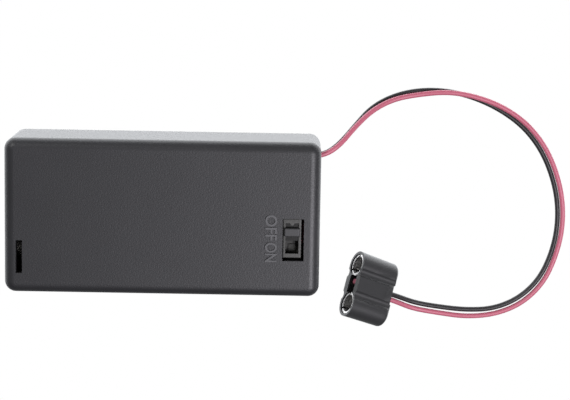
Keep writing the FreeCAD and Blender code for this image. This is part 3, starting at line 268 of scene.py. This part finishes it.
BLACK_ROUTE = (
    (0.0269, -0.0023, 0.0075), (0.0270, 0.0002, 0.0075), (0.0286, 0.0034, 0.0077),
    (0.0303, 0.0064, 0.0083), (0.0310, 0.0098, 0.0088), (0.0319, 0.0132, 0.0089),
    (0.0356, 0.0135, 0.0089), (0.0388, 0.0158, 0.0083), (0.0423, 0.0197, 0.0057),
    (0.0459, 0.0235, 0.0027), (0.0509, 0.0261, 0.0009), (0.0569, 0.0275, 0.0006),
    (0.0634, 0.0274, 0.0006), (0.0696, 0.0259, 0.0006), (0.0755, 0.0232, 0.0006),
    (0.0807, 0.0195, 0.0006), (0.0847, 0.0146, 0.0006), (0.0874, 0.0089, 0.0006),
    (0.0890, 0.0028, 0.0006), (0.0892, -0.0036, 0.0006), (0.0880, -0.0097, 0.0006),
    (0.0855, -0.0155, 0.0006), (0.0811, -0.0200, 0.0006), (0.0753, -0.0226, 0.0006),
    (0.0690, -0.0230, 0.0006), (0.0628, -0.0224, 0.0006), (0.0572, -0.0215, 0.0009),
    (0.0532, -0.0198, 0.0025), (0.0503, -0.0186, 0.0043), (0.0481, -0.0181, 0.0057),
    (0.0460, -0.0178, 0.0065), (0.0442, -0.0174, 0.0068),
)
LEAD_RADIUS = 0.000575
RED_EXIT_Z = 0.0101
BLACK_EXIT_Z = 0.0089
RED_LENGTH = 0.166
BLACK_LENGTH = 0.157
black_cover = surface("black_cover", (0.017, 0.015, 0.016), 0.50, grain=900.0, depth=0.04)
red_end = [plug_body, nodes["socket_red"], nodes["rivet_red"], nodes["solder_plug_red"]]
black_end = [nodes["socket_black"], nodes["rivet_black"], nodes["solder_plug_black"]]
for colour, points, material, exit_z, length, far_pieces in (
    ("red", RED_ROUTE, red_cover, RED_EXIT_Z, RED_LENGTH, red_end),
    ("black", BLACK_ROUTE, black_cover, BLACK_EXIT_Z, BLACK_LENGTH, black_end),
):
    lead_curve = bpy.data.curves.new("lead_" + colour, "CURVE")
    lead_curve.dimensions = "3D"
    spline = lead_curve.splines.new("NURBS")
    spline.points.add(len(points) - 1)
    for point, place in zip(spline.points, points):
        point.co = (*place, 1)
    spline.order_u = 3
    spline.use_endpoint_u = True
    spline.resolution_u = 8
    lead_curve.bevel_depth = LEAD_RADIUS
    lead_curve.bevel_resolution = 5
    lead_curve.use_fill_caps = True
    lead_curve.materials.append(material)
    lead = bpy.data.objects.new("lead_" + colour, lead_curve)
    scene.collection.objects.link(lead)
    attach(lead, "case")
    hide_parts("wire_" + colour)

# Camera. It looks almost straight down on the face, from the side of the lead hole.
# Its place and lens were fitted to the case's corners, so the perspective is the photo's.
PHOTO_WIDTH = 570
PHOTO_HEIGHT = 400
CAMERA_PLACE = (0.0265, 0.0671, 0.4314)
CAMERA_TILT = math.radians(-8.62)
CAMERA_LEAN = math.radians(0.10)
CAMERA_SPIN = math.radians(0.99)
camera_data = bpy.data.cameras.new("camera")
camera_data.sensor_width = 36.0
camera_data.lens = 120.7
camera_data.clip_start = 0.01
camera = bpy.data.objects.new("camera", camera_data)
camera.location = CAMERA_PLACE
camera.rotation_euler = (CAMERA_TILT, CAMERA_LEAN, CAMERA_SPIN)
scene.collection.objects.link(camera)
scene.camera = camera
scene.view_settings.view_transform = "Standard"
scene.render.resolution_x = 2 * PHOTO_WIDTH
scene.render.resolution_y = 2 * PHOTO_HEIGHT

# Surround. The camera sees plain white. As a light it is bright below, like the white table that
# the long wall mirrors, dim above, and darker on the near side, where the face's edge falls off.
TABLE_GLOW = 3.2
ROOM_GLOW = 0.20
TABLE_FULL_Z = -0.35
NEAR_SHARE = 0.10
NEAR_Y = -0.7
FAR_Y = 0.2
world = bpy.data.worlds.new("surround")
world.use_nodes = True
scene.world = world
sky = world.node_tree
sky.nodes.clear()
white = sky.nodes.new("ShaderNodeBackground")
white.inputs["Color"].default_value = (1, 1, 1, 1)
white.inputs["Strength"].default_value = 1.0
glow = sky.nodes.new("ShaderNodeBackground")
glow.inputs["Color"].default_value = (0.95, 0.97, 1.0, 1)
direction = sky.nodes.new("ShaderNodeTexCoord")
split = sky.nodes.new("ShaderNodeSeparateXYZ")
by_height = sky.nodes.new("ShaderNodeMapRange")
by_height.inputs["From Min"].default_value = TABLE_FULL_Z
by_height.inputs["From Max"].default_value = 0.0
by_height.inputs["To Min"].default_value = TABLE_GLOW
by_height.inputs["To Max"].default_value = ROOM_GLOW
by_side = sky.nodes.new("ShaderNodeMapRange")
by_side.inputs["From Min"].default_value = NEAR_Y
by_side.inputs["From Max"].default_value = FAR_Y
by_side.inputs["To Min"].default_value = NEAR_SHARE
by_side.inputs["To Max"].default_value = 1.0
both = sky.nodes.new("ShaderNodeMath")
both.operation = "MULTIPLY"
rays = sky.nodes.new("ShaderNodeLightPath")
either = sky.nodes.new("ShaderNodeMixShader")
result = sky.nodes.new("ShaderNodeOutputWorld")
sky.links.new(direction.outputs["Generated"], split.inputs["Vector"])
sky.links.new(split.outputs["Z"], by_height.inputs["Value"])
sky.links.new(split.outputs["Y"], by_side.inputs["Value"])
sky.links.new(by_height.outputs["Result"], both.inputs[0])
sky.links.new(by_side.outputs["Result"], both.inputs[1])
sky.links.new(both.outputs["Value"], glow.inputs["Strength"])
sky.links.new(rays.outputs["Is Camera Ray"], either.inputs["Fac"])
sky.links.new(glow.outputs["Background"], either.inputs[1])
sky.links.new(white.outputs["Background"], either.inputs[2])
sky.links.new(either.outputs["Shader"], result.inputs["Surface"])

# Lamps. A key stands at the upper left, and a soft light, tinted a little violet,
# gives the face its sheen towards the switch.
LAMPS_AIM = Vector((0.03, 0, 0))
for name, place, size, power, tone in (
    ("key", (-0.45, 0.50, 0.60), 0.20, 2.4, (1.0, 1.0, 1.0)),
    ("sheen", (0.28, -0.16, 0.58), 0.22, 3.8, (1.0, 0.98, 1.04)),
):
    lamp_data = bpy.data.lights.new(name, "AREA")
    lamp_data.size = size
    lamp_data.energy = power
    lamp_data.color = tone
    lamp = bpy.data.objects.new(name, lamp_data)
    lamp.location = place
    lamp.rotation_euler = (LAMPS_AIM - Vector(place)).to_track_quat("-Z", "Y").to_euler()
    scene.collection.objects.link(lamp)
